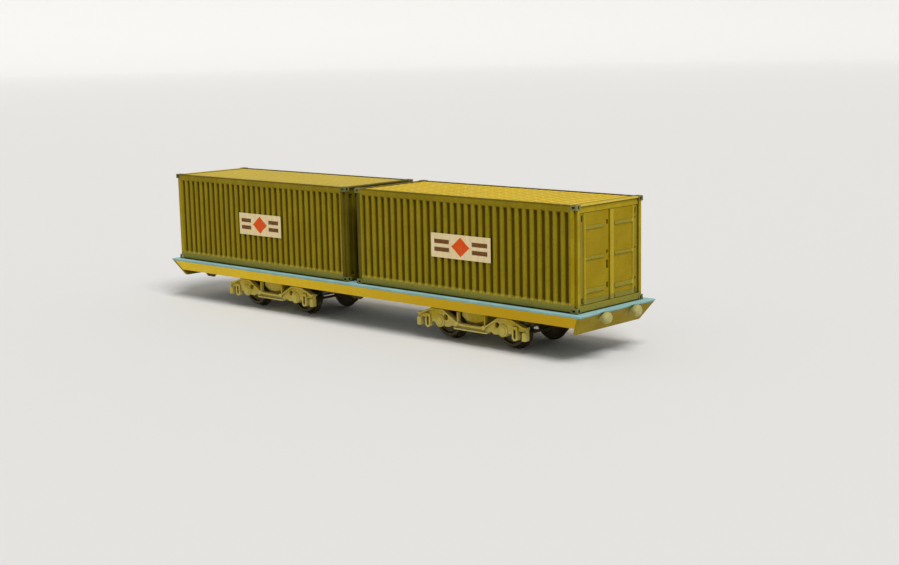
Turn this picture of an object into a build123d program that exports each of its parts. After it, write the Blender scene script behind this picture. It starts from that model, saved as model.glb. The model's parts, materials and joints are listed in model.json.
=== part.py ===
from build123d import *
import os
from math import sqrt

# A four-axle container flat car in H0 scale (1:87, 16.5 mm gauge) with its load of two ribbed containers.
# Millimetres. +X runs along the car, +Y is its left side, and Z = 0 is the lowest point of the wheel flanges.
# The origin is under the middle of the deck.

# Wheels and axles
TREAD_R = 5.0
FLANGE_DEPTH = 0.8
BACK_TO_BACK = 14.4
WHEEL_WIDTH = 2.7
AXLE_R = 1.0
AXLE_TIP_Y = 12.2
AXLE_Z = TREAD_R + FLANGE_DEPTH
WHEELBASE = 23.0

# Bogies
BOGIE_X = {"a": -38.5, "b": 45.3}
BOGIE_HALF_LENGTH = 19.8
FRAME_BACK_Y = 11.9
FRAME_INNER_Y = 12.3
FRAME_WEB_Y = 13.3
FRAME_FACE_Y = 13.7
FRAME_TOP_Z = 9.15
FRAME_LOW_Z = 4.2
FRAME_FLANGE = 0.5
DROP_TOP_Z = 5.8
CUP_R = 1.15
CUP_DEPTH_Y = 12.75
JOURNAL_INNER_Y = 11.0
JOURNAL_R = 1.7
JOURNAL_CAP_R = 1.15
ARCH_HOLE = (9.4, 7.0)
ARCH_HOLE_R = 0.85
LOOP_X = 15.9
FOOT_X = 18.55
SHOULDER_X = 18.8
SHOULDER_Z = 7.5
COLUMN_X = (4.7, 5.2)
KNOB_R = 0.6
BOLSTER_HALF = 3.2
BOLSTER_END_HALF = 4.4
BOLSTER_TOP = 8.4
BOLSTER_END_Y = 10.6
BOLSTER_LENGTH = 24.0
SPRING_Y = (10.7, 11.8)
SPRING_SEAT_Z = 5.36
BODY_PLATE_Z = 8.85
LEAF_CENTRE_Z = 14.36
LEAF_TOP_R = 7.92
LEAF_T = 0.265
LEAF_HALF_LENGTHS = (4.1, 3.5, 2.8, 2.0)
PIVOT_GAP = 0.1
KINGPIN_R = 0.85
KINGPIN_TOP = 11.8
KINGPIN_CLEARANCE = 0.08
CENTRE_PLATE_R = 3.2

# Underframe: a shallow box whose sides lean inwards towards the bottom
DECK_LENGTH = 170.6
DECK_WIDTH = 32.7
DECK_TOP = 13.2
DECK_T = 0.6
DECK_UNDERSIDE = DECK_TOP - DECK_T
LEAN_X = 0.65
LEAN_Y = 0.51
SILL_BOTTOM = 9.5
HEADSTOCK_BOTTOM = 7.8
SILL_T = 1.1
CENTRE_SILL_HALF = 3.2
CENTRE_SILL_WALL = 0.9
CENTRE_SILL_BOTTOM = 9.6
CENTRE_SILL_END = 79.0
CROSS_MEMBER_X = (-76.0, -67.0, -58.5, -18.5, -8.0, 3.0, 14.0, 25.0, 65.5, 76.0)
BODY_BOLSTER_HALF = 2.8
LUG_X = (-67.5, 1.2, 66.8)

# Buffers
BUFFER_Y = 6.5
BUFFER_Z = 11.65
BUFFER_TIP_X = 87.2
STEM_INNER_X = 82.6
BUFFER_STEM_R = 0.9
BUFFER_HEAD_R = 1.55
BUFFER_HEAD_T = 1.5
BUFFER_HEAD_ROUND = 0.9

# Containers, in their own frame: +X towards the doors, Z = 0 under the corner castings
CONTAINER_X = {"a": -42.95, "b": 42.05}
BOX_L = 80.9
BOX_W = 28.4
BOX_H = 27.8
CASTING = (2.05, 1.86, 1.36)
SET_BACK = 0.12
RAIL_TOP_H = 1.7
RAIL_BOTTOM_H = 1.8
RAIL_GAP = 0.3
SIDE_INNER_Y = 12.9
END_INNER_X = BOX_L / 2 - CASTING[0]
END_FACE_X = BOX_L / 2 - SET_BACK
OPENING_BOTTOM, OPENING_TOP = 1.9, 25.6
RECESS_PITCH = 2.55
RECESS_COUNT = 30
END_RECESS_COUNT = 10
RECESS_MOUTH = 1.4
RECESS_FLAT = 0.85
RECESS_DEPTH = 0.75
CREST_Y = BOX_W / 2 - SET_BACK - 0.05
POST_STEP_X = 39.4
POST_STEP = 0.5
HEADER_LIP_Z = 27.25
HEADER_STEP = 0.35
ROOF_DROP = 0.3
ROOF_T = 0.7
ROOF_ROWS = 9
ROOF_GROOVE = 0.3
ROOF_GROOVE_DEPTH = 0.14
FLOOR_TOP = 1.7
FLOOR_T = 0.7
POST_INNER_Y = 12.65
DOOR_T = 0.9
DOOR_FRONT_X = END_FACE_X - 0.45
DOOR_BOTTOM, DOOR_TOP = 2.0, 25.5
DOOR_PARTING = 0.06
DOOR_PANEL_Y = (2.3, 10.5)
DOOR_UPRIGHT = 0.8
DOOR_BANDS_Z = ((2.0, 3.2), (4.75, 5.9), (13.35, 14.1), (21.25, 22.1))
DOOR_PROUD = 0.22
STRIP_Y = 1.6
STRIP_PROUD = 0.4
LOCK_Y = 0.75
NOTCH_Y = (11.05, 11.65)
HINGE_Y = 12.05
HINGE_X = DOOR_FRONT_X - DOOR_T / 2
HINGE_PIN_R = 0.22
HINGE_CLEARANCE = 0.05
LABEL_LENGTH = {"a": 19.8, "b": 21.7}
LABEL_HEIGHT, LABEL_T = 6.7, 0.12
LABEL_Z = 13.9
LABEL_X = {"a": -1.25, "b": 0.6}
PEG_R, PEG_HEIGHT, PEG_CLEARANCE = 0.5, 0.8, 0.15


def block(x0, x1, y0, y1, z0, z1):
    """A box between two corners."""
    size = Box(x1 - x0, y1 - y0, z1 - z0)
    return Pos((x0 + x1) / 2, (y0 + y1) / 2, (z0 + z1) / 2) * size


def across(outline, y0, y1):
    """An outline in X and Z, extruded across the car from y0 to y1."""
    face = make_face(Polyline(*[(x, y0, z) for x, z in outline], close=True))
    return extrude(face, amount=y1 - y0, dir=(0, 1, 0))


def along(outline, x0, x1):
    """An outline in Y and Z, extruded along the car from x0 to x1."""
    face = make_face(Polyline(*[(x0, y, z) for y, z in outline], close=True))
    return extrude(face, amount=x1 - x0, dir=(1, 0, 0))


def upright(outline, z0, z1):
    """An outline in X and Y, extruded upwards from z0 to z1."""
    face = make_face(Polyline(*[(x, y, z0) for x, y in outline], close=True))
    return extrude(face, amount=z1 - z0, dir=(0, 0, 1))


def rod_x(y, z, r, x0, x1):
    return Pos((x0 + x1) / 2, y, z) * Rot(0, 90, 0) * Cylinder(r, x1 - x0)


def rod_y(x, z, r, y0, y1):
    return Pos(x, (y0 + y1) / 2, z) * Rot(90, 0, 0) * Cylinder(r, y1 - y0)


def rod_z(x, y, r, z0, z1):
    return Pos(x, y, (z0 + z1) / 2) * Cylinder(r, z1 - z0)


def turned(profile):
    """A profile of (radius, y) points turned about the Y axis."""
    face = make_face(Polyline(*[(r, y, 0) for r, y in profile], close=True))
    return revolve(face, axis=Axis.Y)


def both_sides(shape):
    """The shape and its mirror image on the other side of the car, as one group."""
    return group([shape, mirror(shape, about=Plane.XZ)])


def group(shapes):
    return Compound([solid for shape in shapes for solid in shape.solids()])


def mirrored(outline):
    """A closed outline from its half at x >= 0, listed from one crossing of x = 0 to the other."""
    return outline + [(-x, z) for x, z in reversed(outline) if x > 0]


# ---------------------------------------------------------------- wheelsets

def wheels():
    """Two flanged wheels on the Y axis: flange at the back, coned tread, dished web and raised hub."""
    back = BACK_TO_BACK / 2
    face = back + WHEEL_WIDTH
    flange_r = TREAD_R + FLANGE_DEPTH
    root = back + 0.85
    profile = [
        (AXLE_R, back),
        (flange_r - 0.3, back),
        (flange_r, back + 0.25),
        (flange_r, back + 0.4),
        (TREAD_R + 0.3, root - 0.1),
        (TREAD_R + 0.05, root),
        (TREAD_R - 0.05, face - 0.15),
        (TREAD_R - 0.2, face),
        (TREAD_R - 0.95, face),
        (TREAD_R - 1.15, face - 0.6),
        (AXLE_R + 1.0, face - 0.75),
        (AXLE_R + 0.8, face - 0.1),
        (AXLE_R, face - 0.1),
    ]
    return both_sides(turned(profile))


def axle():
    """A steel axle with a cone at each end for the bearing cups."""
    tip, shoulder = AXLE_TIP_Y, JOURNAL_INNER_Y - 0.3
    profile = [
        (0, -tip),
        (0.12, -tip),
        (0.78, -shoulder - 0.2),
        (AXLE_R, -shoulder),
        (AXLE_R, shoulder),
        (0.78, shoulder + 0.2),
        (0.12, tip),
        (0, tip),
    ]
    return turned(profile)


# ---------------------------------------------------------------- bogies

def leaf_arc(radius, half_length):
    """The end and middle points of a leaf's surface, which is an arc that sags at the middle."""
    end_z = LEAF_CENTRE_Z - sqrt(radius**2 - half_length**2)
    return (-half_length, end_z), (0, LEAF_CENTRE_Z - radius), (half_length, end_z)


def between_arcs(upper, lower, y0, y1):
    """A solid whose outline has two arcs, each given by three points in X and Z, joined at their ends."""
    top = ThreePointArc(*[(x, y0, z) for x, z in upper])
    bottom = ThreePointArc(*[(x, y0, z) for x, z in lower])
    left = Line(top @ 0, bottom @ 0)
    right = Line(top @ 1, bottom @ 1)
    return extrude(make_face([top, right, bottom, left]), amount=y1 - y0, dir=(0, 1, 0))


def leaf_springs():
    """A pack of short leaves under each end of the bolster, the longest leaf on top."""
    leaves = []
    for number, half_length in enumerate(LEAF_HALF_LENGTHS):
        inner = LEAF_TOP_R + number * LEAF_T
        upper = leaf_arc(inner, half_length)
        lower = leaf_arc(inner + LEAF_T, half_length)
        leaves.append(between_arcs(upper, lower, *SPRING_Y))
    return group([both_sides(leaf) for leaf in leaves])


def bogie_bolster():
    """The cross beam: round-bottomed ends that sit on the springs, and a centre plate with the pivot hole."""
    half, end_y, end_top = BOLSTER_END_HALF, BOLSTER_END_Y, 9.1
    beam = block(-BOLSTER_HALF, BOLSTER_HALF, -end_y, end_y, 6.6, BOLSTER_TOP)
    seat = ThreePointArc(*[(x, end_y, z) for x, z in leaf_arc(LEAF_TOP_R - 0.02, half)])
    sides = Polyline(seat @ 1, (half, end_y, end_top), (-half, end_y, end_top), seat @ 0)
    end = extrude(make_face([seat, sides]), amount=BOLSTER_LENGTH / 2 - end_y, dir=(0, 1, 0))
    centre_plate = rod_z(0, 0, CENTRE_PLATE_R, BOLSTER_TOP, BODY_PLATE_Z - PIVOT_GAP)
    solid = beam + end + mirror(end, about=Plane.XZ) + centre_plate
    return solid - rod_z(0, 0, KINGPIN_R + KINGPIN_CLEARANCE, 6.0, BODY_PLATE_Z)


def side_frame():
    """The left side frame: two arches over the axles, a dropped centre, and a foot beyond each wheel."""
    top = [(0, DROP_TOP_Z), (4.2, DROP_TOP_Z + 0.05), (5.4, 6.3), (10.0, FRAME_TOP_Z), (14.8, FRAME_TOP_Z),
           (SHOULDER_X, SHOULDER_Z), (BOGIE_HALF_LENGTH, SHOULDER_Z)]
    bottom = [(BOGIE_HALF_LENGTH, 4.0), (FOOT_X, 4.1), (FOOT_X, 6.3), (14.9, 6.3), (14.8, 5.3), (10.4, 5.3),
              (9.6, 4.45), (8.2, 4.45), (7.4, 5.0), (6.6, 5.0), (5.8, FRAME_LOW_Z), (0, FRAME_LOW_Z)]
    frame = across(mirrored(top + bottom), FRAME_INNER_Y, FRAME_WEB_Y)
    lowered = [(x, z - FRAME_FLANGE) for x, z in reversed(top)]
    frame += across(mirrored(top + lowered), FRAME_BACK_Y, FRAME_FACE_Y)
    lower_flange = [(0, FRAME_LOW_Z), (5.8, FRAME_LOW_Z), (6.2, FRAME_LOW_Z + 0.4), (0, FRAME_LOW_Z + 0.4)]
    frame += across(mirrored(lower_flange), FRAME_BACK_Y, FRAME_FACE_Y)
    frame += block(-3.0, 3.0, SPRING_Y[0], FRAME_INNER_Y, 4.6, SPRING_SEAT_Z)
    for s in (-1, 1):
        column_x = s * sum(COLUMN_X) / 2
        frame += block(*sorted(s * x for x in COLUMN_X), FRAME_INNER_Y, FRAME_WEB_Y, 5.2, 9.0)
        frame += rod_y(column_x, DROP_TOP_Z, KNOB_R, FRAME_INNER_Y, FRAME_FACE_Y + 0.25)
        frame += brake_hanger(s)
        frame += block(*sorted((s * FOOT_X, s * BOGIE_HALF_LENGTH)), FRAME_INNER_Y, FRAME_FACE_Y + 0.2, 3.9, 6.1)
        axle_x = s * WHEELBASE / 2
        frame += rod_y(axle_x, AXLE_Z, JOURNAL_R, JOURNAL_INNER_Y, FRAME_FACE_Y - 0.1)
        frame += rod_y(axle_x, AXLE_Z, JOURNAL_CAP_R, FRAME_FACE_Y - 0.1, FRAME_FACE_Y + 0.25)
        frame -= rod_y(axle_x, AXLE_Z, CUP_R, JOURNAL_INNER_Y, CUP_DEPTH_Y)
        frame -= rod_y(s * ARCH_HOLE[0], ARCH_HOLE[1], ARCH_HOLE_R, FRAME_INNER_Y, FRAME_FACE_Y)
    return frame


def brake_hanger(s):
    """The open loop that hangs beyond the wheel: a strap with a round bottom and a slot through it."""
    middle, radius, slot_r = LOOP_X, 0.9, 0.42
    face_y = FRAME_FACE_Y + 0.1
    round_z, slot_top, top = 4.5, 6.7, 7.4
    strap = block(middle - radius, middle + radius, FRAME_INNER_Y, face_y, round_z, top)
    strap += rod_y(middle, round_z, radius, FRAME_INNER_Y, face_y)
    strap -= block(middle - slot_r, middle + slot_r, FRAME_INNER_Y, face_y, round_z, slot_top)
    strap -= rod_y(middle, round_z, slot_r, FRAME_INNER_Y, face_y)
    return strap if s > 0 else mirror(strap, about=Plane.YZ)


def bearing_cups():
    """Four brass cups with conical seats, one in each journal."""
    profile = [
        (0.86, JOURNAL_INNER_Y),
        (CUP_R, JOURNAL_INNER_Y),
        (CUP_R, CUP_DEPTH_Y),
        (0, CUP_DEPTH_Y),
        (0, AXLE_TIP_Y + 0.1),
        (0.2, AXLE_TIP_Y + 0.1),
    ]
    cup = Pos(0, 0, AXLE_Z) * turned(profile)
    return group([both_sides(Pos(s * WHEELBASE / 2, 0, 0) * cup) for s in (-1, 1)])


def brake_gear():
    """A beam beyond each axle with a shoe facing each wheel tread."""
    axle_x = WHEELBASE / 2
    beam_x = (FOOT_X + BOGIE_HALF_LENGTH) / 2
    shoe = block(15.9, 17.6, 8.3, 9.7, 4.2, 7.4) - rod_y(axle_x, AXLE_Z, TREAD_R + 0.35, 8.0, 10.0)
    hanger = block(17.5, beam_x, 8.5, 9.5, 5.4, 6.4)
    half = shoe + hanger
    beam = rod_y(beam_x, 5.9, 0.4, -FRAME_INNER_Y, FRAME_INNER_Y) + half + mirror(half, about=Plane.XZ)
    return group([beam, mirror(beam, about=Plane.YZ)])


# ---------------------------------------------------------------- underframe

def half_length_at(z, inset=0.0):
    return DECK_LENGTH / 2 - LEAN_X * (DECK_TOP - z) - inset


def half_width_at(z, inset=0.0):
    return DECK_WIDTH / 2 - LEAN_Y * (DECK_TOP - z) - inset


def leaning_box(z0, z1, inset):
    """A block between two heights whose four sides follow the lean of the body, set in by a thickness."""
    def level(z):
        return Pos(0, 0, z) * Rectangle(2 * half_length_at(z, inset), 2 * half_width_at(z, inset))
    return loft([level(z0), level(z1)])


def skirt():
    """The leaning outer wall below the deck, all the way round."""
    low, top = HEADSTOCK_BOTTOM, DECK_UNDERSIDE
    return leaning_box(low, top, 0) - leaning_box(low, top, SILL_T)


def between_headstocks():
    """The space between the inner faces of the two end walls."""
    low, top = HEADSTOCK_BOTTOM, DECK_UNDERSIDE
    half = [(0, low), (half_length_at(low, SILL_T), low), (half_length_at(top, SILL_T), top), (0, top)]
    return across(mirrored(half), -DECK_WIDTH / 2, DECK_WIDTH / 2)


def side_sill(s):
    ys = sorted((0, s * DECK_WIDTH / 2))
    return skirt() & between_headstocks() & block(-DECK_LENGTH / 2, DECK_LENGTH / 2, *ys, SILL_BOTTOM, DECK_TOP)


def headstock(s):
    """The end wall, deeper than the side sills, with two holes for the buffer stems."""
    xs = sorted((0, s * DECK_LENGTH / 2))
    end = (skirt() - between_headstocks()) & block(*xs, -DECK_WIDTH / 2, DECK_WIDTH / 2, 0, DECK_TOP)
    for y in (-BUFFER_Y, BUFFER_Y):
        end -= rod_x(y, BUFFER_Z, BUFFER_STEM_R, *sorted((s * STEM_INNER_X, s * BUFFER_TIP_X)))
    return end


def centre_sill():
    """An open-bottomed channel in three lengths, cut where the body bolsters cross it."""
    half, wall, top = CENTRE_SILL_HALF, CENTRE_SILL_WALL, DECK_UNDERSIDE
    section = [(-half, CENTRE_SILL_BOTTOM), (-half, top), (half, top), (half, CENTRE_SILL_BOTTOM),
               (half - wall, CENTRE_SILL_BOTTOM), (half - wall, top - wall), (wall - half, top - wall),
               (wall - half, CENTRE_SILL_BOTTOM)]
    stops = [-CENTRE_SILL_END]
    for x in BOGIE_X.values():
        stops += [x - BODY_BOLSTER_HALF, x + BODY_BOLSTER_HALF]
    stops.append(CENTRE_SILL_END)
    return group([along(section, x0, x1) for x0, x1 in zip(stops[::2], stops[1::2])])


def cross_members():
    """Short beams from the centre sill out to the side sills."""
    low, top = 10.2, DECK_UNDERSIDE
    section = [(CENTRE_SILL_HALF, low), (half_width_at(low, SILL_T), low), (half_width_at(top, SILL_T), top),
               (CENTRE_SILL_HALF, top)]
    return group([both_sides(along(section, x - 0.6, x + 0.6)) for x in CROSS_MEMBER_X])


def body_bolsters():
    """A beam across the body over each bogie, with a centre plate that takes the kingpin screw."""
    low = half_width_at(CENTRE_SILL_BOTTOM, SILL_T)
    high = half_width_at(DECK_UNDERSIDE, SILL_T)
    section = [(-low, CENTRE_SILL_BOTTOM), (low, CENTRE_SILL_BOTTOM), (high, DECK_UNDERSIDE),
               (-high, DECK_UNDERSIDE)]
    bolsters = []
    for x in BOGIE_X.values():
        beam = along(section, x - BODY_BOLSTER_HALF, x + BODY_BOLSTER_HALF)
        beam += rod_z(x, 0, CENTRE_PLATE_R, BODY_PLATE_Z, CENTRE_SILL_BOTTOM)
        bolsters.append(beam - rod_z(x, 0, KINGPIN_R, BODY_PLATE_Z, KINGPIN_TOP))
    return group(bolsters)


def kingpin_screws():
    """A slotted screw up through each bogie bolster into the body."""
    screws = []
    for x in BOGIE_X.values():
        screw = rod_z(x, 0, KINGPIN_R, 6.2, KINGPIN_TOP) + rod_z(x, 0, 2 * KINGPIN_R, 5.2, 6.2)
        screws.append(screw - block(x - 0.2, x + 0.2, -2, 2, 5.2, 5.6))
    return group(screws)


def sill_lugs():
    """Small lugs under the side sills, each a bar with two teeth."""
    lugs = []
    for x in LUG_X:
        bar = block(x - 2.2, x + 2.2, 13.5, 14.3, 9.0, SILL_BOTTOM)
        for tooth_x in (x - 1.6, x + 0.4):
            bar += block(tooth_x, tooth_x + 1.2, 13.5, 14.3, 8.6, 9.0)
        lugs.append(both_sides(bar))
    return group(lugs)


def at_four_corners(shape):
    """The shape and its mirror images at the other side and at both sides of the other end."""
    pair = both_sides(shape)
    return group([pair, mirror(pair, about=Plane.YZ)])


def buffer_stems():
    return at_four_corners(rod_x(BUFFER_Y, BUFFER_Z, BUFFER_STEM_R, STEM_INNER_X, BUFFER_TIP_X - BUFFER_HEAD_T))


def buffer_heads():
    """Round heads on the stems, with a flat face and a well rounded edge."""
    head = rod_x(BUFFER_Y, BUFFER_Z, BUFFER_HEAD_R, BUFFER_TIP_X - BUFFER_HEAD_T, BUFFER_TIP_X)
    front_edge = head.edges().filter_by(GeomType.CIRCLE).sort_by(Axis.X)[-1]
    return at_four_corners(fillet(front_edge, BUFFER_HEAD_ROUND))


def container_pegs():
    """Pegs on the deck that stand in the bottom holes of the corner castings."""
    x, y = (BOX_L - CASTING[0]) / 2, (BOX_W - CASTING[1]) / 2
    pegs = []
    for middle in CONTAINER_X.values():
        for peg_x in (middle - x, middle + x):
            pegs.append(both_sides(rod_z(peg_x, y, PEG_R, DECK_TOP, DECK_TOP + PEG_HEIGHT)))
    return group(pegs)


# ---------------------------------------------------------------- containers

def casting_corners():
    """The eight corners of a container, as the signs of X and Y and whether the corner is a top one."""
    return [(sx, sy, top) for sx in (-1, 1) for sy in (-1, 1) for top in (False, True)]


def casting_box(sx, sy, top):
    """The full outline of one corner casting, by which the frame members are also cut back."""
    width, depth, height = CASTING
    z0 = BOX_H - height if top else 0
    xs = sorted((sx * BOX_L / 2, sx * (BOX_L / 2 - width)))
    ys = sorted((sy * BOX_W / 2, sy * (BOX_W / 2 - depth)))
    return block(*xs, *ys, z0, z0 + height)


def corner_casting(sx, sy, top):
    """A corner fitting with an oblong recess in its end and side faces and a round hole above or below."""
    box = casting_box(sx, sy, top)
    x, y, z = tuple(box.center())
    recess = 0.5
    end_x, side_y = sx * BOX_L / 2, sy * BOX_W / 2
    box -= block(*sorted((end_x, end_x - sx * recess)), y - 0.36, y + 0.36, z - 0.42, z + 0.42)
    box -= block(x - 0.5, x + 0.5, *sorted((side_y, side_y - sy * recess)), z - 0.3, z + 0.3)
    hole_z = (BOX_H - 0.3, BOX_H) if top else (0, PEG_HEIGHT + 0.1)
    return box - rod_z(x, y, PEG_R + PEG_CLEARANCE, *hole_z)


def cut_back(shape):
    for corner in casting_corners():
        shape -= casting_box(*corner)
    return shape


def spread(count, pitch):
    """Positions at a pitch, centred on zero."""
    return [(number - (count - 1) / 2) * pitch for number in range(count)]


def ribbed_edge(count, crest_level, half):
    """The edge of a ribbed panel as (position, level) points: flat crests with tapered recesses between."""
    bottom = crest_level - RECESS_DEPTH
    points = [(-half, crest_level)]
    for middle in spread(count, RECESS_PITCH):
        points += [(middle - RECESS_MOUTH / 2, crest_level), (middle - RECESS_FLAT / 2, bottom),
                   (middle + RECESS_FLAT / 2, bottom), (middle + RECESS_MOUTH / 2, crest_level)]
    return points + [(half, crest_level)]


def container_side(s):
    """One long wall: a top rail, a bottom rail, and vertical ribs between them."""
    half, face = END_INNER_X, BOX_W / 2 - SET_BACK
    low, high = RAIL_GAP + RAIL_BOTTOM_H, BOX_H - SET_BACK - RAIL_TOP_H
    edge = ribbed_edge(RECESS_COUNT, CREST_Y, half)
    wall = upright([(-half, SIDE_INNER_Y)] + edge + [(half, SIDE_INNER_Y)], low, high)
    wall += block(-half, half, SIDE_INNER_Y, face, RAIL_GAP, low)
    wall += block(-half, half, SIDE_INNER_Y, face, high, BOX_H - SET_BACK)
    return wall if s > 0 else mirror(wall, about=Plane.XZ)


def end_frame():
    """Two stepped corner posts, a sill, and a header with a lip, cut back to the corner castings."""
    face_y = BOX_W / 2 - SET_BACK
    frame = block(END_INNER_X, END_FACE_X, -face_y, face_y, RAIL_GAP, BOX_H - SET_BACK)
    frame -= block(END_INNER_X, END_FACE_X, -POST_INNER_Y, POST_INNER_Y, OPENING_BOTTOM, OPENING_TOP)
    frame -= block(END_FACE_X - HEADER_STEP, END_FACE_X, -POST_INNER_Y, POST_INNER_Y, OPENING_TOP, HEADER_LIP_Z)
    return cut_back(frame - both_sides(block(POST_STEP_X, END_FACE_X, face_y - POST_STEP, face_y, 0, BOX_H)))


def door_frame():
    return end_frame() - hinge_pins()


def front_end():
    """The closed end: its frame and a panel with vertical ribs."""
    half = POST_INNER_Y
    edge = ribbed_edge(END_RECESS_COUNT, END_FACE_X - HEADER_STEP, half)
    outline = [(END_INNER_X, -half)] + [(x, y) for y, x in edge] + [(END_INNER_X, half)]
    return mirror(end_frame() + upright(outline, OPENING_BOTTOM, OPENING_TOP), about=Plane.YZ)


def roof():
    """A thin roof sheet between the top rails, scored into low tiles by shallow grooves."""
    half, width, top = END_INNER_X, SIDE_INNER_Y, BOX_H - ROOF_DROP
    low, groove = top - ROOF_GROOVE_DEPTH, ROOF_GROOVE / 2
    lines = [block(x - groove, x + groove, -width, width, low, top) for x in spread(RECESS_COUNT, RECESS_PITCH)]
    row_pitch = 2 * width / ROOF_ROWS
    lines += [block(-half, half, y - groove, y + groove, low, top) for y in spread(ROOF_ROWS - 1, row_pitch)]
    return block(-half, half, -width, width, top - ROOF_T, top) - lines


def floor():
    """A floor plate on cross bearers."""
    half, under = END_INNER_X, FLOOR_TOP - FLOOR_T
    plate = block(-half, half, -SIDE_INNER_Y, SIDE_INNER_Y, under, FLOOR_TOP)
    for x in spread(13, 6.1):
        plate += block(x - 0.5, x + 0.5, -SIDE_INNER_Y, SIDE_INNER_Y, under - 0.6, under)
    return plate


def hinge_pins():
    return both_sides(rod_z(HINGE_X, HINGE_Y, HINGE_PIN_R, OPENING_BOTTOM - 0.7, OPENING_TOP + 0.7))


def door(s, edge_slots, lock_holes, has_strip):
    """A door leaf with a rounded, bored hinge edge, raised bands, and slots through it."""
    front, back = DOOR_FRONT_X, DOOR_FRONT_X - DOOR_T
    raised = front + DOOR_PROUD
    inner, outer = DOOR_PANEL_Y
    leaf = block(back, front, DOOR_PARTING, HINGE_Y, DOOR_BOTTOM, DOOR_TOP)
    leaf += rod_z(HINGE_X, HINGE_Y, DOOR_T / 2, DOOR_BOTTOM, DOOR_TOP)
    leaf += block(front, raised, outer - DOOR_UPRIGHT / 2, outer + DOOR_UPRIGHT / 2, DOOR_BOTTOM, DOOR_TOP)
    for z0, z1 in DOOR_BANDS_Z:
        leaf += block(front, raised, inner, outer, z0, z1)
    if has_strip:
        leaf += block(front, front + STRIP_PROUD, DOOR_PARTING, STRIP_Y, DOOR_BOTTOM, DOOR_TOP)
    for z, height in edge_slots:
        leaf -= block(back, front, *NOTCH_Y, z - height / 2, z + height / 2)
    for z, width, height in lock_holes:
        y0, y1 = LOCK_Y - width / 2, LOCK_Y + width / 2
        leaf -= block(back, front, y0, y1, z - height / 2, z + height / 2)
    leaf -= rod_z(HINGE_X, HINGE_Y, HINGE_PIN_R + HINGE_CLEARANCE, DOOR_BOTTOM, DOOR_TOP)
    return leaf if s > 0 else mirror(leaf, about=Plane.XZ)


def labels(x, length):
    """A printed sticker on each side, held on the crests of the ribs."""
    half = length / 2
    low, high = LABEL_Z - LABEL_HEIGHT / 2, LABEL_Z + LABEL_HEIGHT / 2
    return both_sides(block(x - half, x + half, CREST_Y, CREST_Y + LABEL_T, low, high))


def container(letter):
    """The named pieces of one container in its own frame."""
    tall = [(24.1, 1.6), (2.95, 1.5)]
    small = [(22.3, 0.6), (14.3, 0.6), (6.1, 0.6)]
    lock_holes = [(22.3, 0.7, 1.2), (14.6, 0.7, 0.9), (11.3, 0.95, 2.2), (5.9, 0.7, 1.4)]
    return {
        "floor": floor(),
        "side_left": container_side(1),
        "side_right": container_side(-1),
        "roof": roof(),
        "front_end": front_end(),
        "door_frame": door_frame(),
        "corner_castings": group([corner_casting(*corner) for corner in casting_corners()]),
        "labels": labels(LABEL_X[letter], LABEL_LENGTH[letter]),
        "hinge_pins": hinge_pins(),
        "door_left": door(1, tall + small, [], True),
        "door_right": door(-1, tall, lock_holes, False),
    }


# ---------------------------------------------------------------- assembly

nodes = {
    "deck_plate": leaning_box(DECK_TOP - DECK_T, DECK_TOP, 0),
    "side_sill_left": side_sill(1),
    "side_sill_right": side_sill(-1),
    "headstock_a": headstock(-1),
    "headstock_b": headstock(1),
    "centre_sill": centre_sill(),
    "cross_members": cross_members(),
    "body_bolsters": body_bolsters(),
    "kingpin_screws": kingpin_screws(),
    "sill_lugs": sill_lugs(),
    "buffer_stems": buffer_stems(),
    "buffer_heads": buffer_heads(),
    "container_pegs": container_pegs(),
}

for letter, x in BOGIE_X.items():
    pieces = {
        "bolster": bogie_bolster(),
        "sideframe_left": side_frame(),
        "sideframe_right": mirror(side_frame(), about=Plane.XZ),
        "leaf_springs": leaf_springs(),
        "bearing_cups": bearing_cups(),
        "brake_gear": brake_gear(),
    }
    for piece, shape in pieces.items():
        nodes[f"bogie_{letter}_{piece}"] = Pos(x, 0, 0) * shape

axle_places = [x + s * WHEELBASE / 2 for x in BOGIE_X.values() for s in (-1, 1)]
for number, x in enumerate(axle_places, start=1):
    nodes[f"wheelset_{number}_axle"] = Pos(x, 0, AXLE_Z) * axle()
    nodes[f"wheelset_{number}_wheels"] = Pos(x, 0, AXLE_Z) * wheels()

for letter, x in CONTAINER_X.items():
    turn = 180 if letter == "a" else 0
    for piece, shape in container(letter).items():
        nodes[f"container_{letter}_{piece}"] = Pos(x, 0, DECK_TOP) * Rot(0, 0, turn) * shape

os.makedirs("parts", exist_ok=True)
for name, shape in nodes.items():
    export_step(shape, f"parts/{name}.step")
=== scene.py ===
"""A container flat car in H0 scale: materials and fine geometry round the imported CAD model.

Meshes are drawn in millimetres in the frame of the CAD model and scaled to metres as they are made: +X along
the car, +Y its left side, +Z up, and Z = 0 at the lowest point of the wheel flanges.
"""

import json
import math

import bmesh
import bpy
from mathutils import Matrix, Vector


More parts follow.
